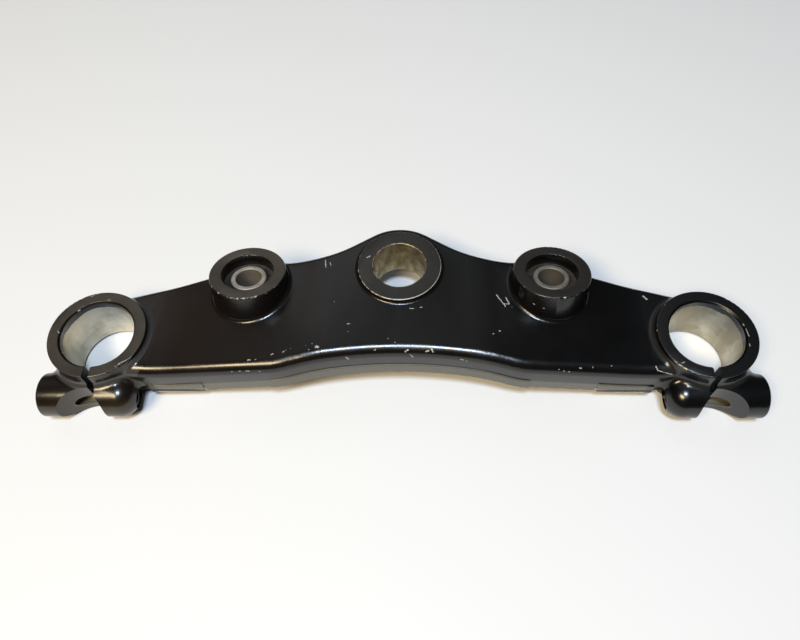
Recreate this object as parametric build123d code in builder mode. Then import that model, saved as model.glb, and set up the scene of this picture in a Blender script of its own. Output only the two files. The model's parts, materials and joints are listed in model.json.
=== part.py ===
"""Upper fork bridge of an off-road machine.

One casting clamps both fork tubes, sits on the steering stem and carries two
handlebar bosses, each with a rubber bush and the steel collar bonded in it.
"""
import os
from math import acos, atan2, cos, degrees, hypot, radians, sin, tan

from build123d import *

# Driving dimensions, millimetres and degrees: X across the machine, Y to the rear, Z up.
# The origin is the centre of the steering stem bore, at the seat under the stem boss.

# Fork clamps
fork_spacing = 290.0
fork_offset = 35.5  # fork axes ahead of the stem axis
fork_bore = 35.0
fork_ring_wall = 6.0
fork_ring_height = 30.0
fork_drop = 13.5  # foot of the clamp rings below the stem seat
fork_lead_in = 1.0  # chamfer at the top of the bore
fork_foot_chamfer = 1.5
ring_edge = 0.7  # rounding of the ring's outer rim

# Pinch lugs across the front of each ring
pinch_hole = 8.5  # clearance hole in the outer lug
pinch_tap = 6.8  # tapping size in the inner lug
pinch_bore_wall = 1.85  # metal left between the fork bore and the pinch hole
pinch_drop = 2.2  # pinch axis below the middle of the lug
lug_wall = 6.25
lug_lift = 0.5  # lugs kept off the resting plane
outer_lug_length = 26.5
inner_lug_length = 19.5
lug_ball_round = 9.0  # rounding of the inner lug's end
lug_end_round = 1.2
lug_seat = 11.4  # recess round the tapped hole's mouth
lug_seat_depth = 3.2
clamp_slot = 3.2
notch_radius = 11.8
notch_outboard = 5.9  # notch axis outboard of the fork axis
notch_to_bolt = 2.6  # notch floor ahead of the pinch axis, so that it opens the hole
lug_blend = 4.0

# Steering stem boss
stem_bore = 26.0
stem_boss_wall = 7.7
stem_height = 22.5
stem_chamfer = 0.3
stem_edge = 0.7
stem_blend = 1.7
stem_proud = 2.5  # rim above the web
stem_ledge = 4.6  # web outside the rim, at the rear

# Handlebar bosses, leaning back
bar_spacing = 147.0
bar_offset = 7.6  # centre of the rim ahead of the stem axis
bar_height = 27.5  # centre of the rim above the stem seat
bar_lean = 13.0
bar_boss_wall = 6.1
bar_boss_length = 28.0
bar_boss_edge = 0.8
bar_blend = 2.5
bar_ledge = 3.0  # web outside the boss, round its root
bush_bore = 24.8
bush_shoulder = 3.0  # thickness of the lip that the bush stands on
bush_lip = 2.4

# Rubber bushes and their collars
collar_outside = 17.1
collar_hole = 12.4
collar_below_rim = 3.7
collar_chamfer = 0.4
bush_below_rim = 6.0
bush_meniscus = 1.3  # rubber drawn up the collar

# Web between the bosses
ring_proud = 4.0  # rings above the web
skirt_setback = 4.0  # skirt behind the front of the rings
skirt_clearance = 6.5  # skirt above the foot of the rings
skirt_above_seat = 1.0  # foot of the skirt above the stem seat, at the middle
front_dip = 7.5  # middle of the front skirt behind its ends
front_radius = 220.0
knee_radius = 40.0
rear_at_fork = 21.1  # rear wall line behind the fork axis
rear_flat = 5.4  # rear wall behind the stem axis, between the bosses
rear_corner = 39.0  # where the rear wall turns towards the stem
rear_radius = 60.0
rear_bulge_radius = 8.0  # where the rear wall runs out round the handlebar bosses
slope_from_fork = 33.0
slope_from_stem = 40.0
slope_radius = 120.0
front_edge_round = 5.5
rear_edge_round = 3.0
web_blend = 3.0
parting_step = 0.6  # front skirt below the mould's parting line, proud of the skirt above
parting_height = 7.0  # parting line above the foot of the skirt
pad_inner = 62.0  # smooth pads that interrupt the parting line, from the middle
pad_outer = 95.0

# Hollow underside
ceiling = 7.0
skirt_wall = 5.0
rib = 4.0
bar_pad = 2.0  # metal round the handlebar bosses, under the web
pocket_round = 2.5

# Derived sizes
half_span = fork_spacing / 2
bar_x = bar_spacing / 2
fork_radius = fork_bore / 2
ring_radius = fork_radius + fork_ring_wall
ring_top = fork_ring_height - fork_drop
stem_radius = stem_bore / 2
stem_boss_radius = stem_radius + stem_boss_wall
stem_wall_radius = stem_boss_radius + stem_ledge
bush_radius = bush_bore / 2
bar_boss_radius = bush_radius + bar_boss_wall
collar_radius = collar_outside / 2
lug_radius = pinch_hole / 2 + lug_wall
lug_y = -fork_offset - fork_radius - pinch_bore_wall - pinch_hole / 2
lug_z = lug_radius + lug_lift - fork_drop
lug_outer_end = half_span + outer_lug_length
lug_inner_end = half_span - inner_lug_length
web_top_fork = ring_top - ring_proud
web_top_stem = stem_height - stem_proud
web_low_fork = skirt_clearance - fork_drop
web_low_stem = skirt_above_seat
slope_outer = half_span - slope_from_fork
slope_inner = slope_from_stem
front_y = skirt_setback - fork_offset - ring_radius
middle_y = front_y + front_dip
rear_fork_y = rear_at_fork - fork_offset
web_slope = (web_top_stem - web_top_fork) / (slope_outer - slope_inner)
web_top_bar = web_top_stem - web_slope * (bar_x - slope_inner)
parting_end = lug_inner_end - lug_blend
bar_root = (bar_x, -bar_offset - (bar_height - web_top_bar) * tan(radians(bar_lean)))
bar_root_radius = bar_boss_radius + bar_ledge
below = -2 * fork_ring_height  # a level below the whole part
tall = 4 * fork_ring_height  # through the whole part from there
deep = 4 * (fork_offset + ring_radius)  # past the front and rear of the part

ring_axis = Axis((half_span, -fork_offset, 0), (0, 0, 1))
lug_axis = Axis((half_span, lug_y, lug_z), (1, 0, 0))
stem_axis = Axis((0, 0, 0), (0, 0, 1))
bar_lean_direction = (0, sin(radians(bar_lean)), cos(radians(bar_lean)))
bar_plane = Plane(origin=(bar_x, -bar_offset, bar_height), x_dir=(1, 0, 0), z_dir=bar_lean_direction)
bar_axis = Axis(bar_plane.origin, bar_lean_direction)
bar_floor_plane = bar_plane.offset(-bar_boss_length)
lug_plane = Plane(origin=(0, lug_y, lug_z), x_dir=(0, 1, 0), z_dir=(1, 0, 0))
pinch_plane = Plane(origin=(0, lug_y, lug_z - pinch_drop), x_dir=(0, 1, 0), z_dir=(1, 0, 0))

# Where the rear wall, drawn from its inner corner, touches the round wall behind the stem
touch_angle = degrees(
    atan2(rear_flat, rear_corner) + acos(stem_wall_radius / hypot(rear_corner, rear_flat))
)
touch_point = (
    stem_wall_radius * cos(radians(touch_angle)),
    stem_wall_radius * sin(radians(touch_angle)),
)
dip_angle = degrees(acos(1 - front_dip / front_radius))


def distance_from(axis, point):
    """Distance of a point from an axis."""
    reach = point - axis.position
    return (reach - axis.direction * reach.dot(axis.direction)).length


def on_cylinder(edge, axis, radius):
    """True for an edge that lies on the cylinder of this axis and radius."""
    return all(abs(distance_from(axis, edge @ t) - radius) < 0.02 for t in (0, 0.25, 0.5, 0.75, 1))


def on_skin(body, point):
    """True for a point that lies on the surface of a body."""
    return min(face.distance_to(point) for face in body.faces()) < 0.01


def meeting_edges(edges, first, second):
    """The edges along which two joined bodies meet."""
    return edges.filter_by(
        lambda edge: all(on_skin(first, edge @ t) and on_skin(second, edge @ t) for t in (0.1, 0.5, 0.9))
    )


def arm_line(fork_level, stem_level):
    """Corner points of a line along the right arm, seen from the front, fork end first."""
    return [(half_span, fork_level), (slope_outer, fork_level), (slope_inner, stem_level), (0, stem_level)]


def slope_corners(sketch):
    """The corners of an elevation where the arm starts and stops rising."""
    return sketch.vertices().filter_by(
        lambda corner: any(abs(corner.X - x) < 0.01 for x in (slope_inner, slope_outer))
    )


foot_line = arm_line(web_low_fork, web_low_stem)[::-1]

# Plan of the right half of the web
with BuildSketch() as web_plan:
    with BuildLine():
        dip = JernArc(start=(0, middle_y), tangent=(1, 0), radius=front_radius, arc_size=-dip_angle)
        Polyline(
            dip @ 1,
            (half_span, front_y),
            (half_span, rear_fork_y),
            (bar_x, rear_flat),
            (rear_corner, rear_flat),
            touch_point,
        )
        CenterArc((0, 0), stem_wall_radius, touch_angle, 90 - touch_angle)
        Line((0, stem_wall_radius), (0, middle_y))
    make_face()
    fillet(web_plan.vertices().sort_by_distance(dip @ 1)[0], knee_radius)
    fillet(web_plan.vertices().sort_by_distance((rear_corner, rear_flat))[0], rear_radius)

# Right half of the web: the plan, cut to a gull-wing elevation, with rounded edges
with BuildPart() as web:
    with BuildSketch(Plane.XY.offset(below)):
        add(web_plan.sketch)
        with Locations(bar_root):
            Circle(bar_root_radius)
    extrude(amount=tall)
    bulge_axis = Axis((*bar_root, 0), (0, 0, 1))
    bulge_sides = web.edges().filter_by(Axis.Z).filter_by(
        lambda edge: on_cylinder(edge, bulge_axis, bar_root_radius)
    )
    fillet(bulge_sides, rear_bulge_radius)
    with BuildSketch(Plane.XZ) as elevation:
        with BuildLine():
            Polyline(*foot_line, *arm_line(web_top_fork, web_top_stem), close=True)
        make_face()
        fillet(slope_corners(elevation), slope_radius)
    extrude(amount=deep, both=True, mode=Mode.INTERSECT)
    rim_edges = (
        web.edges()
        .filter_by(Axis.Y, reverse=True)
        .filter_by(Axis.Z, reverse=True)
        .filter_by_position(Axis.X, 0, half_span, inclusive=(False, False))
    )
    rim_middle = (web_top_fork + web_low_stem) / 2
    top_rim = rim_edges.filter_by(lambda edge: edge.center().Z > rim_middle)
    fillet(top_rim.filter_by(lambda edge: edge.center().Y < -fork_offset), front_edge_round)
    fillet(top_rim.filter_by(lambda edge: edge.center().Y > -fork_offset), rear_edge_round)

# Front skirt below the parting line, a little proud, left out at the pad
with BuildPart() as parting:
    with BuildSketch(Plane.XY.offset(below)):
        add(web_plan.sketch)
        offset(amount=parting_step)
        with BuildSketch(mode=Mode.PRIVATE) as stretches:
            for start, end in ((0, pad_inner), (pad_outer, parting_end)):
                with Locations((start, -fork_offset)):
                    Rectangle(end - start, deep, align=(Align.MIN, Align.MAX))
        add(stretches.sketch, mode=Mode.INTERSECT)
    extrude(amount=tall)
    with BuildSketch(Plane.XZ) as parting_elevation:
        with BuildLine():
            Polyline(
                *foot_line,
                *arm_line(web_low_fork + parting_height, web_low_stem + parting_height),
                close=True,
            )
        make_face()
        fillet(slope_corners(parting_elevation), slope_radius)
    extrude(amount=deep, both=True, mode=Mode.INTERSECT)

# Right clamp: ring and pinch lug, blended where they cross
with BuildPart() as clamp:
    with BuildSketch(lug_plane.offset(lug_inner_end)):
        Circle(lug_radius)
    extrude(amount=lug_outer_end - lug_inner_end)
    lug_ends = clamp.edges().filter_by(GeomType.CIRCLE).sort_by(Axis.X)
    fillet(lug_ends[0], lug_ball_round)
    fillet(lug_ends[-1], lug_end_round)
    with BuildSketch(Plane((half_span, -fork_offset, -fork_drop))):
        Circle(ring_radius)
    extrude(amount=fork_ring_height)
    fillet(
        clamp.edges().filter_by(
            lambda edge: on_cylinder(edge, lug_axis, lug_radius) and on_cylinder(edge, ring_axis, ring_radius)
        ),
        lug_blend,
    )

# Hollow of the right half, open below, with ribs between the bosses
with BuildPart() as hollow:
    with BuildSketch(Plane.XY.offset(below)) as hollow_plan:
        add(web_plan.sketch)
        mirror(about=Plane.YZ)
        offset(amount=-skirt_wall)
        with Locations((rib / 2, 0)):
            Rectangle(fork_spacing, deep, align=(Align.MAX, Align.CENTER), mode=Mode.SUBTRACT)
        with Locations((half_span, -fork_offset)):
            Circle(ring_radius, mode=Mode.SUBTRACT)
        Circle(stem_boss_radius, mode=Mode.SUBTRACT)
        bar_floor = (bar_x, bar_floor_plane.origin.Y)
        with Locations(bar_floor):
            Circle(bar_boss_radius + bar_pad, mode=Mode.SUBTRACT)
        with BuildLine(mode=Mode.PRIVATE) as rib_line:
            Polyline((half_span, -fork_offset), bar_floor, (0, -stem_boss_radius))
        trace(rib_line.line, line_width=rib, mode=Mode.SUBTRACT)
    extrude(amount=tall)
    fillet(hollow.edges().filter_by(Axis.Z), pocket_round)
    with BuildSketch(Plane.XZ) as hollow_elevation:
        with BuildLine():
            Polyline(
                (0, below),
                (half_span, below),
                *arm_line(web_top_fork - ceiling, web_top_stem - ceiling),
                close=True,
            )
        make_face()
        fillet(slope_corners(hollow_elevation), slope_radius)
    extrude(amount=deep, both=True, mode=Mode.INTERSECT)

# The casting: a right half with every blend, mirrored, then bored and slit
with BuildPart() as casting:
    add(web.part)
    add(clamp.part)
    near_clamp = casting.edges().filter_by(
        lambda edge: edge.center().X > slope_outer and edge.center().Z > web_low_fork + web_blend / 2
    )
    fillet(meeting_edges(near_clamp, web.part, clamp.part), web_blend)
    add(parting.part)
    with BuildSketch(bar_plane):
        Circle(bar_boss_radius)
    extrude(amount=-bar_boss_length)
    bar_root_edges = casting.edges().filter_by(
        lambda edge: on_cylinder(edge, bar_axis, bar_boss_radius)
        and edge.geom_type != GeomType.LINE
        and distance_from(bulge_axis, edge.center()) < bar_root_radius
        and web_top_fork < edge.center().Z < web_top_stem
    )
    fillet(bar_root_edges, bar_blend)
    with BuildSketch():
        Circle(stem_boss_radius)
    extrude(amount=stem_height)
    split(bisect_by=Plane.YZ, keep=Keep.TOP)
    stem_root = casting.edges().filter_by(
        lambda edge: on_cylinder(edge, stem_axis, stem_boss_radius)
        and edge.geom_type != GeomType.LINE
        and web_top_fork < edge.center().Z < stem_height - stem_edge
    )
    fillet(stem_root, stem_blend)
    add(hollow.part, mode=Mode.SUBTRACT)

    # Machined seat under the handlebar boss
    with BuildSketch(bar_floor_plane):
        Circle(bar_boss_radius + 2 * bar_pad)
    extrude(amount=below, mode=Mode.SUBTRACT)

    # Fork bore with its lead-in, and the slit that lets the ring close
    with BuildSketch(Plane((half_span, -fork_offset, below))):
        Circle(fork_radius)
    extrude(amount=tall, mode=Mode.SUBTRACT)
    bore_ends = casting.edges().filter_by(GeomType.CIRCLE).filter_by(
        lambda edge: on_cylinder(edge, ring_axis, fork_radius)
    ).sort_by(Axis.Z)
    chamfer(bore_ends[0], fork_foot_chamfer)
    chamfer(bore_ends[-1], fork_lead_in)
    fillet(
        casting.edges().filter_by(GeomType.CIRCLE).filter_by(
            lambda edge: on_cylinder(edge, ring_axis, ring_radius) and edge.center().Z > ring_top - ring_edge
        ),
        ring_edge,
    )
    with BuildSketch(Plane((half_span, -fork_offset, below))):
        Rectangle(clamp_slot, deep, align=(Align.CENTER, Align.MAX))
    extrude(amount=tall, mode=Mode.SUBTRACT)

    # Pinch bolt hole, tapped in the inner lug, and the notch that breaks into it
    with BuildSketch(pinch_plane.offset(half_span)):
        Circle(pinch_hole / 2)
    extrude(amount=2 * outer_lug_length, mode=Mode.SUBTRACT)
    with BuildSketch(pinch_plane.offset(half_span)):
        Circle(pinch_tap / 2)
    extrude(amount=-inner_lug_length, mode=Mode.SUBTRACT)
    with BuildSketch(pinch_plane.offset(lug_inner_end + lug_seat_depth)):
        Circle(lug_seat / 2)
    extrude(amount=-2 * lug_seat_depth, mode=Mode.SUBTRACT)
    notch_y = lug_y - notch_to_bolt - notch_radius
    with BuildSketch(Plane((half_span + notch_outboard, notch_y, below))):
        Circle(notch_radius)
    extrude(amount=tall, mode=Mode.SUBTRACT)

    # Stepped bore for the bush
    with BuildSketch(bar_plane):
        Circle(bush_radius)
    extrude(amount=bush_shoulder - bar_boss_length, mode=Mode.SUBTRACT)
    with BuildSketch(bar_plane):
        Circle(bush_radius - bush_lip)
    extrude(amount=-2 * bar_boss_length, mode=Mode.SUBTRACT)
    bar_rims = casting.edges().filter_by(GeomType.CIRCLE).filter_by(
        lambda edge: (edge.arc_center - bar_plane.origin).length < bar_boss_edge
    )
    fillet(bar_rims, bar_boss_edge)

    mirror(about=Plane.YZ)

    # Stem bore
    with BuildSketch(Plane.XY.offset(below)):
        Circle(stem_radius)
    extrude(amount=tall, mode=Mode.SUBTRACT)
    bore_rims = casting.edges().filter_by(GeomType.CIRCLE).filter_by(
        lambda edge: on_cylinder(edge, stem_axis, stem_radius)
    )
    chamfer(bore_rims, stem_chamfer)
    fillet(
        casting.edges().filter_by(GeomType.CIRCLE).filter_by(
            lambda edge: on_cylinder(edge, stem_axis, stem_boss_radius)
            and edge.center().Z > stem_height - stem_edge
        ),
        stem_edge,
    )

# Right rubber bush, standing on the shoulder of its bore
bush_top = -bush_below_rim
bush_foot = bush_shoulder - bar_boss_length
bar_section = Plane(origin=bar_plane.origin, x_dir=(1, 0, 0), z_dir=bar_plane.y_dir * -1)
with BuildPart() as right_bush:
    with BuildSketch(bar_section):
        with BuildLine():
            Polyline(
                (collar_radius, bush_top + bush_meniscus),
                (collar_radius, bush_foot),
                (bush_radius, bush_foot),
                (bush_radius, bush_top),
            )
            ThreePointArc(
                (bush_radius, bush_top),
                ((bush_radius + collar_radius) / 2, bush_top),
                (collar_radius, bush_top + bush_meniscus),
            )
        make_face()
    revolve(axis=bar_axis)

# Right steel collar, bonded in the bush
with BuildPart() as right_collar:
    with BuildSketch(bar_plane.offset(-collar_below_rim)):
        Circle(collar_radius)
        Circle(collar_hole / 2, mode=Mode.SUBTRACT)
    extrude(amount=collar_below_rim - bar_boss_length)
    chamfer(right_collar.edges().filter_by(GeomType.CIRCLE), collar_chamfer)

# Left bush and collar, mirror images of the right ones
with BuildPart() as left_bush:
    add(right_bush.part)
    mirror(about=Plane.YZ, mode=Mode.REPLACE)
with BuildPart() as left_collar:
    add(right_collar.part)
    mirror(about=Plane.YZ, mode=Mode.REPLACE)

pieces = {
    "bridge_casting": casting.part,
    "bush_left": left_bush.part,
    "bush_right": right_bush.part,
    "collar_left": left_collar.part,
    "collar_right": right_collar.part,
}
os.makedirs("parts", exist_ok=True)
for name, piece in pieces.items():
    piece.label = name
    export_step(piece, f"parts/{name}.step")
    print(f"{name}: {piece.volume / 1000:.1f} cm3")
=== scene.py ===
# %% [markdown]
# # An upper fork bridge, dressed for its portrait
# A fork bridge is the casting at the top of a motorcycle's front end: it grips both fork tubes in
# split rings, sits on the steering stem, and carries the handlebar on two rubber bushes.
# The solids come from the CAD model in metres, already in place, so this lesson is mostly about looks:
# one longer cut, a camera, soft light, worn black paint, bare bores, rubber and steel.

# %% Load the CAD model
import json
from math import pi, radians

import bpy
from mathutils import Matrix, Vector


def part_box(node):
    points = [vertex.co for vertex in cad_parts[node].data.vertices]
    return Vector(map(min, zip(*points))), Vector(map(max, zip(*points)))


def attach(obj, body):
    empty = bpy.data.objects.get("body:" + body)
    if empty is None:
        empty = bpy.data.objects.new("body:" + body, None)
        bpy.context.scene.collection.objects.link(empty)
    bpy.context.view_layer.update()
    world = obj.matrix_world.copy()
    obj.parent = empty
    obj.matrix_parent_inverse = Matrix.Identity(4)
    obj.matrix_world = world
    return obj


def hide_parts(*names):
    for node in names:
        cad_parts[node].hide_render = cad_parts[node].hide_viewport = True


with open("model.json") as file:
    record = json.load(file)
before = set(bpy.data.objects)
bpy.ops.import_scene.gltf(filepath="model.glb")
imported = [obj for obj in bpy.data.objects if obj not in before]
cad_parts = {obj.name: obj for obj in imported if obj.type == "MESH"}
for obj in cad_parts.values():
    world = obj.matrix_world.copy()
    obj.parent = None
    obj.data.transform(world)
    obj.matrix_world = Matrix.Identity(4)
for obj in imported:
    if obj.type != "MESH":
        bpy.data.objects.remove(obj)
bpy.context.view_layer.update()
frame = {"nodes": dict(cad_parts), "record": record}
print("nodes:", sorted(frame["nodes"]))

# %% [markdown]
# The record that comes with the model lists its mounts: the holes where other parts go.
# Reading the places and radii there keeps this script true to the model when a size changes.

# %% Sizes from the mounts
MM = 0.001
mounts = {mount["name"]: mount for mount in frame["record"]["mounts"]}


def place(name):
    """The place of a mount, in metres."""
    return Vector(mounts[name]["pos_m"])


def direction(name):
    """The direction of a mount's axis."""
    return Vector(mounts[name]["axis"])


def radius(name):
    """The radius of a round mount, in metres."""
    return mounts[name]["dims"]["r_mm"] * MM


casting_low, casting_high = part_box("bridge_casting")
floor_level = casting_low.z
fork = place("fork_clamp_right")
stem = place("stem_bore")
stem_top = place("stem_nut_face").z
collar = place("bar_collar_right")
pinch = place("pinch_hole_right")
bore_radius = radius("fork_clamp_right")
print("fork axis at", fork, "collar top at", collar)

# %% [markdown]
# The pinch lugs are where this casting takes most care. In the model the notch in each outer lug is a
# short round cut. On the real one it is a longer scallop that lays the bolt hole open right up to the
# slit, where the hole shows as a half pipe. So a copy of the casting stands in for the node: its loose
# triangles are merged, and a Boolean modifier takes a drum away from each outer lug. Cutting the drum
# off at the slit first keeps the inner lug as it is.

# %% Drum for the longer notch
NOTCH_RADIUS = 16.6 * MM
NOTCH_OUTBOARD = 2.7 * MM  # drum axis outboard of the fork axis
NOTCH_TO_BOLT = 1.3 * MM  # floor of the notch ahead of the bolt axis
DRUM_HEIGHT = 60 * MM
DRUM_SIDES = 240


def take_up(piece):
    """Selects one piece and nothing else."""
    bpy.ops.object.select_all(action="DESELECT")
    bpy.context.view_layer.objects.active = piece
    piece.select_set(True)


def notch_drum(hand):
    """A drum that fills the scallop of the left (-1) or right (1) outer lug, cut off at the slit."""
    axis = (hand * (fork.x + NOTCH_OUTBOARD), pinch.y - NOTCH_TO_BOLT - NOTCH_RADIUS, pinch.z)
    bpy.ops.object.select_all(action="DESELECT")
    bpy.ops.mesh.primitive_cylinder_add(
        vertices=DRUM_SIDES, radius=NOTCH_RADIUS, depth=DRUM_HEIGHT, location=axis
    )
    bpy.ops.object.mode_set(mode="EDIT")
    bpy.ops.mesh.select_all(action="SELECT")
    slit = Vector((hand * fork.x, 0, 0))
    bpy.ops.mesh.bisect(plane_co=slit, plane_no=(hand, 0, 0), use_fill=True, clear_inner=True)
    bpy.ops.object.mode_set(mode="OBJECT")
    return bpy.context.object


# %% Longer notch in the outer lugs
MERGE_DISTANCE = 0.001 * MM
SMOOTH_ANGLE = radians(30)

cad_casting = frame["nodes"]["bridge_casting"]
casting = bpy.data.objects.new("notched_casting", cad_casting.data.copy())
bpy.context.scene.collection.objects.link(casting)
take_up(casting)
bpy.ops.object.mode_set(mode="EDIT")
bpy.ops.mesh.select_all(action="SELECT")
bpy.ops.mesh.remove_doubles(threshold=MERGE_DISTANCE)
bpy.ops.object.mode_set(mode="OBJECT")
for hand in (-1, 1):
    drum = notch_drum(hand)
    take_up(casting)
    cut = casting.modifiers.new("notch", "BOOLEAN")
    cut.operation = "DIFFERENCE"
    cut.object = drum
    bpy.ops.object.modifier_apply(modifier=cut.name)
    bpy.data.objects.remove(drum)
bpy.ops.mesh.customdata_custom_splitnormals_clear()
bpy.ops.object.shade_smooth_by_angle(angle=SMOOTH_ANGLE)
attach(casting, "root")
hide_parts("bridge_casting")
print("casting faces:", len(cad_casting.data.polygons), "then", len(casting.data.polygons))

# %% [markdown]
# The camera stands where the photographer stood: in front of the part, a little over a third of a
# metre away, looking down steeply. The picture is 800 pixels wide, and the focal length was worked
# out in pixels from the ovals of the round holes, so it is turned into millimetres here.

# %% Camera
PICTURE_WIDTH, PICTURE_HEIGHT = 800, 640
FOCAL_PIXELS = 663.6
CAMERA_FROM_FORK = Vector((-137.06, -155.8, 289.8)) * MM  # from the right fork axis, at stem seat level
LOOK_DOWN, TURN, ROLL = radians(59.16), radians(2.62), radians(-2.29)
NEAREST_SEEN = 0.01

camera_place = Vector((fork.x, fork.y, 0)) + CAMERA_FROM_FORK
aim = Matrix.Rotation(TURN, 3, "Z") @ Matrix.Rotation(pi / 2 - LOOK_DOWN, 3, "X")
aim = aim @ Matrix.Rotation(ROLL, 3, "Z")
bpy.ops.object.camera_add(location=camera_place, rotation=aim.to_euler())
camera = bpy.context.object
camera.name = "portrait_camera"
camera.data.lens = FOCAL_PIXELS / PICTURE_WIDTH * camera.data.sensor_width
camera.data.clip_start = NEAREST_SEEN
bpy.context.scene.camera = camera
print(f"lens {camera.data.lens:.1f} mm")

# %% [markdown]
# The part lies on a plain pale floor. A floor much larger than the part reaches past the edges of
# the picture, also in views from low down.

# %% Floor
FLOOR_SIZE = 30
FLOOR_COLOUR = (0.86, 0.855, 0.85, 1)
FLOOR_ROUGHNESS = 0.6

bpy.ops.object.select_all(action="DESELECT")
bpy.ops.mesh.primitive_plane_add(size=FLOOR_SIZE, location=(0, 0, floor_level))
floor = bpy.context.object
floor.name = "pale_floor"

floor_paint = bpy.data.materials.new("pale_floor_paint")
floor_paint.use_nodes = True
floor_shader = floor_paint.node_tree.nodes["Principled BSDF"]
floor_shader.inputs["Base Color"].default_value = FLOOR_COLOUR
floor_shader.inputs["Roughness"].default_value = FLOOR_ROUGHNESS
floor.data.materials.append(floor_paint)
print("floor at", round(floor_level / MM, 1), "mm")

# %% [markdown]
# A finish, and the sky of a world too, is a small network of nodes. Writing it out node by node is
# long, so this class holds one network: it adds a node, sets or links its inputs by name or number,
# and returns the output to go on with. The ways to add maths, masks, noise and mixed colours follow.
# A mask is a number from 0 to 1 that says how much of a finish shows at a point.

# %% Node helpers
class Nodes:
    """A network of nodes, with short ways to add to it."""

    def __init__(self, owner):
        owner.use_nodes = True
        self.tree = owner.node_tree

    def add(self, kind, inputs=None, output=0, **settings):
        """Adds a node with its settings and inputs, and returns one of its outputs."""
        made = self.tree.nodes.new("ShaderNode" + kind)
        for name, value in settings.items():
            setattr(made, name, value)
        for key, value in (inputs or {}).items():
            self.feed(made.inputs[key], value)
        return made.outputs[output]

    def feed(self, socket, value):
        """Links an output to a socket, or sets the socket to a plain value."""
        if isinstance(value, bpy.types.NodeSocket):
            self.tree.links.new(value, socket)
        else:
            socket.default_value = value

    def calc(self, operation, first, second=0.0, third=0.0):
        """The result of a Math node."""
        return self.add("Math", {0: first, 1: second, 2: third}, operation=operation)

    def vector(self, operation, first, second=(0, 0, 0), scale=1.0, output=0):
        """The result of a Vector Math node."""
        inputs = {0: first, 1: second, 3: scale}
        return self.add("VectorMath", inputs, output, operation=operation)

    def ramp(self, value, start, end, low=0.0, high=1.0):
        """A smooth step from low to high, while a value goes from start to end."""
        inputs = {"Value": value, "From Min": start, "From Max": end, "To Min": low, "To Max": high}
        return self.add("MapRange", inputs, interpolation_type="SMOOTHSTEP")

    def below(self, value, level, feather):
        """1 up to a level, and 0 from a feather's width above it."""
        return self.ramp(value, level, level + feather, 1, 0)

    def above(self, value, level, feather):
        """1 from a level on, and 0 up to a feather's width below it."""
        return self.ramp(value, level - feather, level)

    def within(self, value, middle, half_width, feather):
        """1 where a value is near its middle, 0 further off."""
        off = self.calc("ABSOLUTE", self.calc("SUBTRACT", value, middle))
        return self.below(off, half_width, feather)

    def every(self, *masks):
        """1 where all of these masks are 1."""
        product = masks[0]
        for mask in masks[1:]:
            product = self.calc("MULTIPLY", product, mask)
        return product

    def either(self, *masks):
        """The highest of these masks."""
        highest = masks[0]
        for mask in masks[1:]:
            highest = self.calc("MAXIMUM", highest, mask)
        return highest

    def noise(self, where, feature, detail=3.0, roughness=0.55, stretch=(1, 1, 1)):
        """Cloudy noise, 0 to 1, with features of about this size in metres."""
        if stretch != (1, 1, 1):
            where = self.add("Mapping", {"Vector": where, "Scale": stretch})
        inputs = {"Vector": where, "Scale": 1 / feature, "Detail": detail, "Roughness": roughness}
        return self.add("TexNoise", inputs)

    def spread(self, cloud, low=0.0, high=1.0):
        """Noise, which keeps mostly between 0.3 and 0.7, spread out from low to high."""
        return self.ramp(cloud, 0.3, 0.7, low, high)

    def mix(self, share, first, second):
        """A mix of two numbers."""
        return self.add("Mix", {0: share, 2: first, 3: second})

    def blend(self, share, first, second):
        """A mix of two colours."""
        return self.add("Mix", {0: share, 6: first, 7: second}, 2, data_type="RGBA")

    def raised(self, height):
        """A normal bent by a height in metres."""
        return self.add("Bump", {"Strength": 1.0, "Distance": 1.0, "Height": height})

    def from_axis(self, point, origin, axis):
        """The distance of a point from an axis, and its height along it from the origin."""
        reach = self.vector("SUBTRACT", point, origin)
        height = self.vector("DOT_PRODUCT", reach, axis, output="Value")
        foot = self.vector("SCALE", axis, scale=height)
        return self.vector("DISTANCE", reach, foot, output="Value"), height


def new_finish(name):
    """A new material: its network, its shader, and the place of each point on the piece."""
    material = bpy.data.materials.new(name)
    net = Nodes(material)
    return material, net, net.tree.nodes["Principled BSDF"], net.add("TexCoord", output="Object")


# %% [markdown]
# Black satin paint has hardly any colour of its own: what we see on it is the room. So the light is
# planned as reflections. A small cool lamp in front of the zenith draws the thin highlight on every
# rounded edge near the middle. A wide warm lamp, lower and to the left, does so on the left half, and
# its light reaches under the skirt, where the shadow of the first lamp turns tan.

# %% Lamps
def area_lamp(name, width, height, power, location, tint):
    """An oblong lamp that faces the part."""
    facing = (-Vector(location)).to_track_quat("-Z", "Y").to_euler()
    bpy.ops.object.light_add(type="AREA", location=location, rotation=facing)
    lamp = bpy.context.object
    lamp.name = name
    lamp.data.shape = "RECTANGLE"
    lamp.data.size = width
    lamp.data.size_y = height
    lamp.data.energy = power
    lamp.data.color = tint
    return lamp


cool_lamp = area_lamp(
    "cool_lamp", width=0.28, height=0.28, power=19, location=(0, -0.45, 1.5), tint=(0.68, 0.82, 1.0)
)
warm_lamp = area_lamp(
    "warm_lamp", width=0.6, height=0.35, power=16.4, location=(-0.6, -0.78, 1.3), tint=(1.0, 0.8, 0.5)
)
print("lamps:", cool_lamp.name, warm_lamp.name)

# %% [markdown]
# The room around is dim, with one paler side behind the part, so that the top of the web turns from
# charcoal on the left to black on the right. How pale the room is in a direction depends on how near
# that direction comes to the pale side, which the dot product of the two tells.

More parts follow.
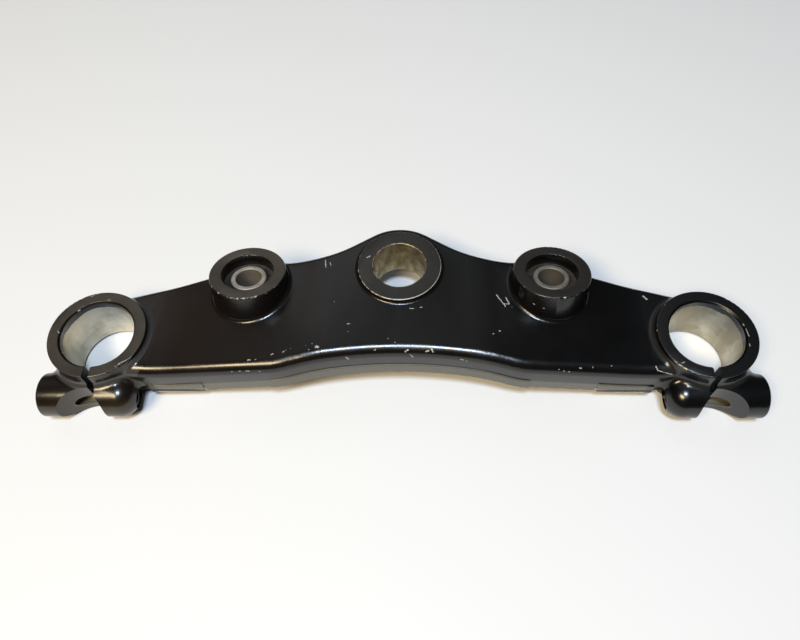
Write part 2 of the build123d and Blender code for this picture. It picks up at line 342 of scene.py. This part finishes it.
# %% Room
PALE_SIDE = Vector((-0.18, 0.62, 0.76)).normalized()
DIM, PALE, GLOW = 0.03, 0.25, 0.35  # light of the room, of its pale side, and added at the middle of that
BROWN_TINT = (1.0, 0.85, 0.74, 1)
COOL_TINT = (0.88, 0.96, 1.0, 1)

room = bpy.data.worlds.new("dim_room")
sky = Nodes(room)
bpy.context.scene.world = room
gaze = sky.add("TexCoord", output="Generated")
toward_pale = sky.vector("DOT_PRODUCT", gaze, PALE_SIDE, output="Value")
pale_light = sky.ramp(toward_pale, 0.80, 1.0, DIM, PALE)
glow = sky.ramp(toward_pale, 0.955, 1.0, 0, GLOW)
across = sky.add("SeparateXYZ", {0: gaze})
tint = sky.blend(sky.ramp(across, -0.45, -0.15), BROWN_TINT, COOL_TINT)
backdrop = sky.tree.nodes["Background"]
sky.feed(backdrop.inputs["Color"], tint)
sky.feed(backdrop.inputs["Strength"], sky.calc("ADD", pale_light, glow))
bpy.context.scene.view_settings.view_transform = "Standard"
print("room:", room.name)

# %% [markdown]
# Every chip in the paint was found in the picture and noted as a short stroke: two pixels and
# a width in millimetres. A stroke that ends where it starts is a plain dot.

# %% Chips, listed one by one
chips_by_eye = {
    "stem face": [
        ((367, 257.5), (370, 256), 0.45),
        ((424, 256.6), (424, 256.6), 0.4),
        ((425, 260), (425.5, 265), 0.28),
    ],
    "left arm": [
        ((325.5, 260), (325.8, 267), 0.42),
        ((330, 262.5), (331, 265), 0.3),
        ((334, 302), (334, 302), 0.4),
        ((347, 324), (350, 323.5), 0.35),
        ((348, 331.5), (348, 331.5), 0.4),
    ],
    "right arm": [
        ((410, 308.5), (414, 308.5), 0.32),
        ((420, 307.5), (422, 307), 0.32),
        ((493, 334), (494, 333.5), 0.35),
        ((499, 331), (500, 331), 0.5),
        ((496.5, 295), (503, 303), 0.42),
        ((503, 303), (505.3, 306), 0.4),
        ((506, 297.7), (509.4, 304.3), 0.4),
        ((504, 303.7), (509, 304), 0.35),
        ((512, 307), (512, 307), 0.4),
        ((643.5, 296.5), (646.5, 299), 0.8),
        ((632.5, 289.5), (632.5, 289.5), 0.35),
        ((665, 305), (665, 305), 0.35),
    ],
    "front edge, left": [
        ((248, 360), (250, 360), 0.5),
        ((255, 359.5), (255.5, 359.5), 0.4),
        ((271, 354.6), (273, 354), 0.42),
        ((283, 352), (284, 351.5), 0.45),
        ((286, 350), (286, 350), 0.3),
        ((290.5, 348.5), (290.5, 348.5), 0.35),
        ((305.5, 345.5), (305.5, 345.5), 0.3),
        ((308.7, 349.6), (308.7, 349.6), 0.3),
        ((316, 346.6), (317.6, 347), 1.0),
        ((312, 343.5), (312, 343.5), 0.35),
    ],
    "front edge, middle": [
        ((346, 357.5), (348.5, 359), 0.45),
        ((374, 350.5), (375.5, 349.5), 0.4),
        ((388, 338.3), (388, 338.3), 0.5),
        ((395, 342), (395, 342), 0.4),
        ((405, 351.5), (408, 350), 0.55),
        ((410, 354.5), (413, 357), 0.4),
        ((426, 351.5), (428.5, 350.5), 0.6),
        ((431.5, 349), (433, 351.5), 0.6),
        ((460.5, 359.3), (463.5, 360), 0.4),
        ((466, 361), (467.5, 361), 0.3),
    ],
    "front skirt": [
        ((231, 371.5), (232, 371.5), 0.35),
        ((239, 371), (240, 371), 0.3),
        ((246, 371), (249, 371), 0.3),
        ((259, 371.5), (260, 371.5), 0.3),
        ((559, 369.5), (559, 369.5), 0.35),
        ((563.5, 371), (564.5, 371), 0.3),
        ((568.5, 371.7), (569.5, 371.7), 0.35),
        ((580, 368), (581, 368), 0.5),
        ((592.7, 367.4), (592.7, 367.4), 0.5),
        ((611.7, 365.7), (611.7, 365.7), 0.3),
    ],
    "left clamp": [
        ((115, 366), (117, 367.5), 0.3),
        ((118, 364.5), (121, 362.5), 0.4),
        ((122, 362), (126, 360), 0.32),
        ((127, 359.5), (130, 358), 0.3),
        ((91, 296.5), (94, 295.5), 0.3),
        ((97, 294), (98.5, 293.6), 0.35),
        ((108, 300), (110, 300), 0.35),
        ((58, 331), (58.8, 333), 0.4),
        ((78, 311), (80, 310), 0.3),
    ],
    "right clamp": [
        ((656, 366.5), (658, 370.5), 0.4),
        ((658, 370.5), (672, 374.5), 0.3),
        ((682, 363), (685, 362), 0.35),
        ((743, 324), (744, 325.5), 0.3),
        ((746, 329), (749, 336), 0.28),
        ((749.5, 344), (750, 346), 0.3),
    ],
    "right boss": [
        ((533.5, 303.5), (534.5, 304.5), 0.45),
        ((543, 308), (544, 308.5), 0.4),
    ],
}
print("chips noted:", sum(len(strokes) for strokes in chips_by_eye.values()))

# %% [markdown]
# A ray from the camera through each pixel lands on the casting, which turns a stroke in the picture
# into a place on the metal. So the chips stay where they are when the camera moves.

# %% Chips on the casting
def on_casting(pixel):
    """The point of the casting that shows at a pixel."""
    from_left, from_top = pixel
    ray = aim @ Vector((from_left - PICTURE_WIDTH / 2, PICTURE_HEIGHT / 2 - from_top, -FOCAL_PIXELS))
    hit, point, _, _ = casting.ray_cast(camera_place, ray.normalized())
    return point if hit else None


chips = []
for where, strokes in chips_by_eye.items():
    ends = [(on_casting(start), on_casting(end), width * MM) for start, end, width in strokes]
    landed = [chip for chip in ends if chip[0] and chip[1]]
    chips += landed
    print(f"{where}: {len(landed)} of {len(strokes)} chips on the casting")

# %% [markdown]
# The casting is one piece with several finishes: black paint all over, bare metal where it was bored
# or chipped, and a greasy stem hole. One material can hold them all, because each finish lies at a
# known distance from an axis. The casting is its own mirror image, so the sides are folded together
# first: the distance from the right fork axis then serves both forks.

# %% Casting: where things are
UP, OUTWARD = Vector((0, 0, 1)), Vector((1, 0, 0))
FEATHER = 0.1 * MM
RING_TOP = 16.5 * MM
RING_RADIUS = 23.5 * MM
STEM_BOSS_RADIUS = 20.7 * MM
BAR_BOSS_RADIUS = 18.5 * MM
BAR_RIM_HEIGHT = 3.7 * MM  # above the collar

paint, net, paint_shader, here = new_finish("worn_black_paint")
x, y, z = (net.add("SeparateXYZ", {0: here}, output) for output in range(3))
side = net.calc("ABSOLUTE", x)
folded = net.add("CombineXYZ", {0: side, 1: y, 2: z})
from_fork, _ = net.from_axis(folded, fork, UP)
from_stem, _ = net.from_axis(here, stem, UP)
from_bar, bar_height = net.from_axis(folded, collar, direction("bar_collar_right"))
from_pinch, _ = net.from_axis(folded, pinch, OUTWARD)
to_right = net.ramp(x, -50 * MM, 50 * MM)  # 0 on the left arm, 1 on the right arm
outward = net.add("NewGeometry", output="Normal")
backward, slope = (net.add("SeparateXYZ", {0: outward}, output) for output in (1, 2))
print("fork bore radius", bore_radius)

# %% [markdown]
# The fork bores were turned before painting and cleaned, but paint ran a few millimetres down
# from the rim. The edge of that run is uneven, so its level goes up and down with a noise.
# Fine turning marks go round the bore, and long smears go along it. The left one is lighter on its
# rear wall.

# %% Casting: bare fork bores
RUN_LOW, RUN_HIGH = RING_TOP - 4.8 * MM, RING_TOP - 3.6 * MM
BORE_DULL = (0.30, 0.265, 0.185, 1)
BORE_BRIGHT = (0.67, 0.625, 0.51, 1)
TURNING_SHARE = 0.16
REAR_LEFT_GAIN = 0.2
BORE_TONE_DROP = 0.06

bore_wall = net.below(from_fork, bore_radius + FEATHER, FEATHER)
run_level = net.spread(net.noise(here, 9 * MM), RUN_LOW, RUN_HIGH)
below_run = net.below(net.calc("SUBTRACT", z, run_level), -0.3 * MM, 0.4 * MM)
bare_bore = net.every(bore_wall, below_run)
turning = net.noise(here, 0.8 * MM, 3, stretch=(0.04, 0.04, 1))
smears = net.noise(here, 13 * MM, 3, 0.5, stretch=(1, 1, 0.6))
bore_tone = net.mix(TURNING_SHARE, smears, turning)
# The rear wall of the left bore is made lighter, and the bores elsewhere a little darker.
rear_wall = net.ramp(y, fork.y, fork.y + bore_radius, 0, REAR_LEFT_GAIN)
lighter_rear_left = net.every(rear_wall, net.calc("SUBTRACT", 1.0, to_right))
bore_tone = net.calc("ADD", bore_tone, net.calc("SUBTRACT", lighter_rear_left, BORE_TONE_DROP))
bore_colour = net.blend(net.ramp(bore_tone, 0.34, 0.66), BORE_DULL, BORE_BRIGHT)

# %% [markdown]
# The stem hole is brown with old grease. The pinch hole is bare with stains, and shows where the
# notch breaks into it; the upper half of that opening is painted darker, as shade under its overhang,
# and the lower half lighter, as lit. The tapped half of that hole, in the inner lug, is nearly black
# and gets the ridges of its thread as a bump: a wave that climbs one pitch per turn.

# %% Casting: stem and pinch holes
GREASE_DARK = (0.20, 0.145, 0.06, 1)
GREASE_PALE = (0.58, 0.46, 0.24, 1)
LIT_STAIN_BELOW = (0.36, 0.31, 0.22, 1)
SHADED_STAIN_ABOVE = (0.12, 0.095, 0.06, 1)
TAP_WALL = 0.15 * MM
TAP_PITCH = 1.25 * MM
HALF_SLIT = 1.5 * MM

greasy = net.below(from_stem, radius("stem_bore") + FEATHER, FEATHER)
grease_tone = net.noise(here, 5 * MM, 5, 0.65, stretch=(1, 1, 0.6))
grease_colour = net.blend(net.spread(grease_tone), GREASE_DARK, GREASE_PALE)

pinch_wall = net.below(from_pinch, radius("pinch_hole_right") + FEATHER, FEATHER)
stained_and_shaded = net.every(pinch_wall, net.ramp(side, fork.x + HALF_SLIT, fork.x + HALF_SLIT + 2 * FEATHER))
# Painted shade: the upper half of the opened hole is darker, as under an overhang; the lower half is lit.
shaded_upper_half = net.ramp(z, pinch.z - 1.0 * MM, pinch.z + 1.0 * MM)
stain_and_shade_colour = net.blend(shaded_upper_half, LIT_STAIN_BELOW, SHADED_STAIN_ABOVE)

tap_wall = net.below(from_pinch, radius("pinch_thread_right") + TAP_WALL, TAP_WALL)
tapped = net.every(tap_wall, net.below(side, fork.x - HALF_SLIT - 2 * FEATHER, 2 * FEATHER))
turn_round = net.calc("ARCTAN2", net.calc("SUBTRACT", z, pinch.z), net.calc("SUBTRACT", y, pinch.y))
climb = net.calc("ADD", net.calc("MULTIPLY", x, 2 * pi / TAP_PITCH), turn_round)
thread = net.calc("SINE", climb)
print("thread pitch", round(TAP_PITCH / MM, 2), "mm")

# %% [markdown]
# Faces that a tool has cut flat before painting keep a duller coat than the cast skin: the top of
# the stem boss, the clamp rings and the handlebar bosses.

# %% Casting: machined faces under the paint
FACE = 0.12 * MM


def flat_top(distance, rim_radius, height, level):
    """The flat top of a round boss: inside its rim, and at its level."""
    return net.every(net.below(distance, rim_radius, FEATHER), net.above(height, level - FACE, FEATHER))


stem_face = flat_top(from_stem, STEM_BOSS_RADIUS, z, stem_top)
ring_face = flat_top(from_fork, RING_RADIUS, z, RING_TOP)
bar_face = flat_top(from_bar, BAR_BOSS_RADIUS, bar_height, BAR_RIM_HEIGHT)
machined = net.either(stem_face, ring_face, bar_face)

# %% [markdown]
# The low band of the front skirt, below the line where the two halves of the mould met, and the narrow
# step there are made paler: partly dust, partly painted light where they would fall too dark in shade.
# The foot of the skirt drops from the middle to the clamp rings, so the band follows it. The step and
# its ends are found by their normals, which turn away from the front. Beside the clamp rings the band
# stands out as a pad, painted pale along its end and foot to lift the shade there.

# %% Casting: dust and painted light along the skirt
BAND_HEIGHT = 7 * MM
FOOT_START, FOOT_END = 40 * MM, 112 * MM  # from the middle of the part
FOOT_HIGH, FOOT_LOW = 1 * MM, -7 * MM
SKIRT_BACK = -42 * MM
SKIRT_END = 117 * MM
PAD_START = 94.5 * MM
BAND_DUST_AND_LIGHT = 0.7

foot = net.add("MapRange", {0: side, 1: FOOT_START, 2: FOOT_END, 3: FOOT_HIGH, 4: FOOT_LOW})
above_band = net.calc("SUBTRACT", z, net.calc("ADD", foot, BAND_HEIGHT))
on_front = net.every(net.below(y, SKIRT_BACK, 2 * MM), net.below(side, SKIRT_END, 3 * MM))
turned_away = net.every(net.ramp(backward, -0.9, -0.75), net.ramp(slope, -0.8, -0.6))
not_up = net.below(slope, 0.1, 0.2)
# Painted light: the step and its ends get a pale colour, partly dust, partly to lift their shade.
step = net.every(on_front, turned_away, net.below(above_band, 1.2 * MM, 0.3 * MM))
low_band = net.every(on_front, net.below(above_band, -1 * MM, 1 * MM), not_up)
dust_and_painted_light = net.either(step, net.calc("MULTIPLY", low_band, BAND_DUST_AND_LIGHT))

# Painted light: the end and foot of each pad are painted pale, to lift the shade that falls there.
pad = net.every(on_front, net.above(side, PAD_START, 0.5 * MM), not_up)
pad_end = net.every(turned_away, net.below(above_band, 0, 1 * MM))
pad_foot = net.below(above_band, -5.4 * MM, 0.8 * MM)
pad_painted_light = net.every(pad, net.either(pad_end, pad_foot))
print("dusty band", round(BAND_HEIGHT / MM, 1), "mm high")

# %% [markdown]
# Low places that face the front get a thin brown tint, a painted warm reflection of the tan floor in
# front of them. A pale painted sheen lies in the fillet where the clamp rings rise from the web, more on
# the left than on the right, standing in for the soft light line that this fillet reflects. The fillet
# is found by its distance from the fork axis, and by a normal that points neither up nor to the side.

# %% Casting: painted warm reflection, and painted sheen in the ring fillets
CORNER_MIDDLE = RING_RADIUS + 2.6 * MM
CORNER_HALF_WIDTH = 2.2 * MM
CORNER_FOOT = 9 * MM
WARM_REFLECTION_TOP = 2 * MM
RIGHT_LOSS = 0.7

# Painted sheen: a pale band in the ring fillet stands in for the light line that the fillet reflects.
corner_slope = net.every(net.ramp(slope, 0.1, 0.4), net.ramp(slope, 0.9, 0.98, 1, 0))
corner_reach = net.within(from_fork, CORNER_MIDDLE, CORNER_HALF_WIDTH, 0.5 * MM)
fillet_sheen = net.every(corner_slope, corner_reach, net.above(z, CORNER_FOOT, 2 * MM))
fillet_sheen = net.every(fillet_sheen, net.calc("SUBTRACT", 1.0, net.calc("MULTIPLY", to_right, RIGHT_LOSS)))
# Painted reflection: low faces turned to the front get a warm brown tint for the tan floor they mirror.
warm_reflection_mask = net.every(net.ramp(backward, -0.8, -0.3, 1, 0), net.below(z, WARM_REFLECTION_TOP, 6 * MM))

# %% [markdown]
# Paint wears first where it is thinnest and where hands, keys and spanners pass: on the rims. A rim
# is a narrow range of distance and height. Noise breaks each worn line up, and a slope on that noise
# makes it stronger on the side where the picture shows more wear.

# %% Casting: worn rims
STEM_USE_SLOPE = 5.0
BAR_USE_SLOPE = 12.0
MOUTH_WEAR = 0.5

scuffs = net.noise(here, 2.2 * MM, 4, 0.6)
fine_scuffs = net.noise(here, 0.5 * MM, 2)
stem_rim = net.every(
    net.within(from_stem, STEM_BOSS_RADIUS - 0.2 * MM, 0.12 * MM, 0.1 * MM),
    net.above(z, stem_top - 0.35 * MM, 0.2 * MM),
)
stem_use = net.calc("ADD", scuffs, net.calc("MULTIPLY", net.calc("SUBTRACT", x, y), STEM_USE_SLOPE))
stem_wear = net.every(stem_rim, net.ramp(stem_use, 0.38, 0.58))
stem_mouth = net.every(
    net.within(from_stem, radius("stem_bore") + 0.25 * MM, 0.12 * MM, 0.1 * MM),
    net.above(z, stem_top - 0.3 * MM, 0.1 * MM),
    net.ramp(scuffs, 0.42, 0.6),
)
bar_rim = net.every(
    net.within(from_bar, BAR_BOSS_RADIUS - 0.2 * MM, 0.2 * MM, 0.12 * MM),
    net.above(bar_height, BAR_RIM_HEIGHT - 0.5 * MM, 0.2 * MM),
)
behind_bar = net.calc("SUBTRACT", y, collar.y)
bar_use = net.calc("SUBTRACT", scuffs, net.calc("MULTIPLY", behind_bar, BAR_USE_SLOPE))
bar_wear = net.every(bar_rim, net.ramp(bar_use, 0.70, 0.84))
ring_rim = net.every(
    net.within(from_fork, RING_RADIUS - 0.15 * MM, 0.1 * MM, 0.1 * MM),
    net.above(z, RING_TOP - 0.4 * MM, 0.2 * MM),
)
ring_wear = net.every(ring_rim, net.ramp(scuffs, 0.68, 0.76))
worn_rims = net.either(stem_wear, net.calc("MULTIPLY", stem_mouth, MOUTH_WEAR), bar_wear, ring_wear)

# %% [markdown]
# The listed chips become one mask. For each stroke, the network works out how far a point is
# from it in units of the stroke's width, keeps the smallest of these, and lets noise fray the edge.

# %% Casting: chips
FRAY = 2.6  # in widths of a stroke

nearest = None
for start, end, width in chips:
    along = end - start
    reach = net.vector("SUBTRACT", here, start)
    if along.length > FEATHER:
        share = net.vector("DOT_PRODUCT", reach, along / along.length_squared, output="Value")
        share = net.add("Clamp", {0: share})
        off = net.vector("DISTANCE", reach, net.vector("SCALE", along, scale=share), output="Value")
    else:
        off = net.vector("LENGTH", reach, output="Value")
    widths_off = net.calc("DIVIDE", off, width)
    nearest = widths_off if nearest is None else net.calc("MINIMUM", nearest, widths_off)
fray = net.calc("MULTIPLY", net.calc("SUBTRACT", fine_scuffs, 0.5), FRAY)
chipped = net.ramp(net.calc("ADD", nearest, fray), 0.25, 0.7, 1, 0)
print("chips in the network:", len(chips))

# %% [markdown]
# A scatter of tiny specks, one kept in every few cells of a Voronoi pattern, fills in what is too
# small to note one by one.

# %% Casting: specks
SPECK_CELL = 9 * MM
SPECK_STRENGTH = 0.5

cells = net.tree.nodes.new("ShaderNodeTexVoronoi")
net.feed(cells.inputs["Vector"], here)
net.feed(cells.inputs["Scale"], 1 / SPECK_CELL)
kept = net.ramp(net.add("SeparateColor", {0: cells.outputs["Color"]}), 0.80, 0.82)
specks = net.every(kept, net.ramp(cells.outputs["Distance"], 0.016, 0.028, 1, 0))
bare_spots = net.either(worn_rims, chipped, net.calc("MULTIPLY", specks, SPECK_STRENGTH))

# %% [markdown]
# Now the layers are put together from the bottom up, as on the real part: metal, paint over it, and
# the places where the paint is off. The coat is thin black with a brownish layer of dust in smudges,
# made thicker to the left as painted side light from the warm lamp; it shows most on the dull machined
# faces.

# %% Casting: coat of paint
CLEAN_BLACK, FILMED_AND_LIT_BLACK = (0.0016, 0.0018, 0.0021, 1), (0.0095, 0.0060, 0.0045, 1)
CLEAN_DULL, FILMED_AND_LIT_DULL = (0.0035, 0.0035, 0.0037, 1), (0.050, 0.041, 0.032, 1)
CLEAN_BOSS, FILMED_AND_LIT_BOSS = (0.012, 0.011, 0.010, 1), (0.076, 0.062, 0.048, 1)
PAINTED_WARM_REFLECTION = (0.026, 0.017, 0.005, 1)
DUST_AND_PAINTED_LIGHT = (0.125, 0.113, 0.083, 1)
PAINTED_PALE_LIGHT = (0.40, 0.375, 0.31, 1)
PAINTED_FILLET_SHEEN = (0.050, 0.046, 0.043, 1)
FILM_AND_LIGHT_POWER = 1.5

# Painted side light: the layer grows towards the left, where the warm lamp falls; smudges vary it.
film_and_side_light = net.add("MapRange", {0: x, 1: casting_high.x, 2: casting_low.x})
smudges = net.spread(net.noise(here, 22 * MM, 5, 0.6), 0.6, 1.4)
film_and_side_light = net.calc("MULTIPLY", net.calc("POWER", film_and_side_light, FILM_AND_LIGHT_POWER), smudges)
black = net.blend(film_and_side_light, CLEAN_BLACK, FILMED_AND_LIT_BLACK)
black = net.blend(net.every(warm_reflection_mask, film_and_side_light), black, PAINTED_WARM_REFLECTION)
black = net.blend(machined, black, net.blend(film_and_side_light, CLEAN_DULL, FILMED_AND_LIT_DULL))
black = net.blend(bar_face, black, net.blend(film_and_side_light, CLEAN_BOSS, FILMED_AND_LIT_BOSS))
black = net.blend(dust_and_painted_light, black, DUST_AND_PAINTED_LIGHT)
black = net.blend(pad_painted_light, black, PAINTED_PALE_LIGHT)
black = net.blend(fillet_sheen, black, PAINTED_FILLET_SHEEN)

# %% Casting: bare places in the paint
TAPPED_BLACK = (0.035, 0.033, 0.030, 1)
BARE_METAL = (0.56, 0.54, 0.49, 1)

colour = net.blend(bare_bore, black, bore_colour)
colour = net.blend(greasy, colour, grease_colour)
colour = net.blend(stained_and_shaded, colour, stain_and_shade_colour)
colour = net.blend(tapped, colour, TAPPED_BLACK)
colour = net.blend(bare_spots, colour, BARE_METAL)
net.feed(paint_shader.inputs["Base Color"], colour)

# %% [markdown]
# Metal shows as metal in the holes and half so in the chips. The coat is satin, duller on the
# machined faces, and the bare places are rougher still.

# %% Casting: metal and gloss
HOLE_METAL = 0.8
CHIP_METAL = 0.35
MACHINED_ROUGHNESS = 0.33
CHIP_ROUGHNESS = 0.55
PAINT_IOR = 1.6

old_holes = net.either(greasy, stained_and_shaded, tapped)
metal = net.either(bare_bore, net.calc("MULTIPLY", old_holes, HOLE_METAL))
metal = net.mix(bare_spots, metal, CHIP_METAL)
net.feed(paint_shader.inputs["Metallic"], metal)

satin = net.spread(net.noise(here, 18 * MM, 5), 0.20, 0.26)
roughness = net.mix(machined, satin, MACHINED_ROUGHNESS)
roughness = net.mix(net.either(bare_bore, old_holes), roughness, net.spread(smears, 0.34, 0.5))
roughness = net.mix(bare_spots, roughness, CHIP_ROUGHNESS)
net.feed(paint_shader.inputs["Roughness"], roughness)
paint_shader.inputs["IOR"].default_value = PAINT_IOR

# %% [markdown]
# The cast skin under the paint is slightly pebbled, so a fine and a broad noise raise it, in metres.
# Machined faces and bores are left smooth, and the thread gets its ridges.

# %% Casting: relief
PEBBLE_HEIGHT = 0.018 * MM
PEEL_HEIGHT = 0.03 * MM
THREAD_HEIGHT = 0.3 * MM

pebbles = net.calc("MULTIPLY", net.noise(here, 0.9 * MM, 2), PEBBLE_HEIGHT)
peel = net.calc("MULTIPLY", net.noise(here, 4 * MM, 2), PEEL_HEIGHT)
as_cast = net.calc("SUBTRACT", 1.0, net.either(machined, bare_bore))
skin = net.calc("MULTIPLY", net.calc("ADD", pebbles, peel), as_cast)
ridges = net.every(thread, tapped, THREAD_HEIGHT)
net.feed(paint_shader.inputs["Normal"], net.raised(net.calc("ADD", skin, ridges)))
casting.material_slots[0].material = paint
print("paint nodes:", len(net.tree.nodes))

# %% [markdown]
# The bushes are black rubber with a dull skin and a little dust.

# %% Rubber
RUBBER_BLACK = (0.030, 0.024, 0.018, 1)
RUBBER_DUSTY = (0.055, 0.044, 0.033, 1)
RUBBER_SKIN_HEIGHT = 0.03 * MM

rubber, net, rubber_shader, here = new_finish("bush_rubber")
dust = net.noise(here, 3 * MM, 5, 0.65)
rubber_colour = net.blend(net.ramp(dust, 0.45, 0.75), RUBBER_BLACK, RUBBER_DUSTY)
net.feed(rubber_shader.inputs["Base Color"], rubber_colour)
net.feed(rubber_shader.inputs["Roughness"], net.spread(dust, 0.45, 0.65))
rubber_skin = net.calc("MULTIPLY", net.noise(here, 0.6 * MM, 3), RUBBER_SKIN_HEIGHT)
net.feed(rubber_shader.inputs["Normal"], net.raised(rubber_skin))

# %% [markdown]
# The collars are turned steel. Fine rings round the axis, made from the distance to it, show on the
# top face. The inside of the hole is darker, and the right collar is darker than the left.

# %% Steel
STEEL_DULL = (0.34, 0.31, 0.265, 1)
STEEL_BRIGHT = (0.46, 0.425, 0.37, 1)
DARKER_INNER_STEEL = (0.23, 0.20, 0.16, 1)
DARKER_RIGHT_STEEL = (0.10, 0.095, 0.08, 1)
RIGHT_DARK_SHARE = 0.6
STEEL_METAL = 0.55
RING_PITCH = 0.35 * MM
RING_HEIGHT = 0.004 * MM

steel, net, steel_shader, here = new_finish("collar_steel")
x, y, z = (net.add("SeparateXYZ", {0: here}, output) for output in range(3))
folded = net.add("CombineXYZ", {0: net.calc("ABSOLUTE", x), 1: y, 2: z})
from_bar, _ = net.from_axis(folded, collar, direction("bar_collar_right"))
inside = net.below(from_bar, radius("bar_collar_right") + 0.15 * MM, 0.1 * MM)
tarnish = net.noise(here, 4 * MM, 5, 0.6)
face_colour = net.blend(net.spread(tarnish), STEEL_DULL, STEEL_BRIGHT)
# Darker on the inner wall of the collar's hole.
steel_colour = net.blend(inside, face_colour, DARKER_INNER_STEEL)
# The collars get darker towards the right.
darker_to_right = net.ramp(x, -40 * MM, 40 * MM, 0, RIGHT_DARK_SHARE)
steel_colour = net.blend(darker_to_right, steel_colour, DARKER_RIGHT_STEEL)
net.feed(steel_shader.inputs["Base Color"], steel_colour)
steel_shader.inputs["Metallic"].default_value = STEEL_METAL
net.feed(steel_shader.inputs["Roughness"], net.spread(tarnish, 0.55, 0.68))
wave = net.calc("SINE", net.calc("MULTIPLY", from_bar, 2 * pi / RING_PITCH))
net.feed(steel_shader.inputs["Normal"], net.raised(net.calc("MULTIPLY", wave, RING_HEIGHT)))

# %% Rubber and steel on their pieces
for name, node in frame["nodes"].items():
    if name.startswith("bush"):
        node.material_slots[0].material = rubber
    if name.startswith("collar"):
        node.material_slots[0].material = steel
print("finishes:", paint.name, rubber.name, steel.name)
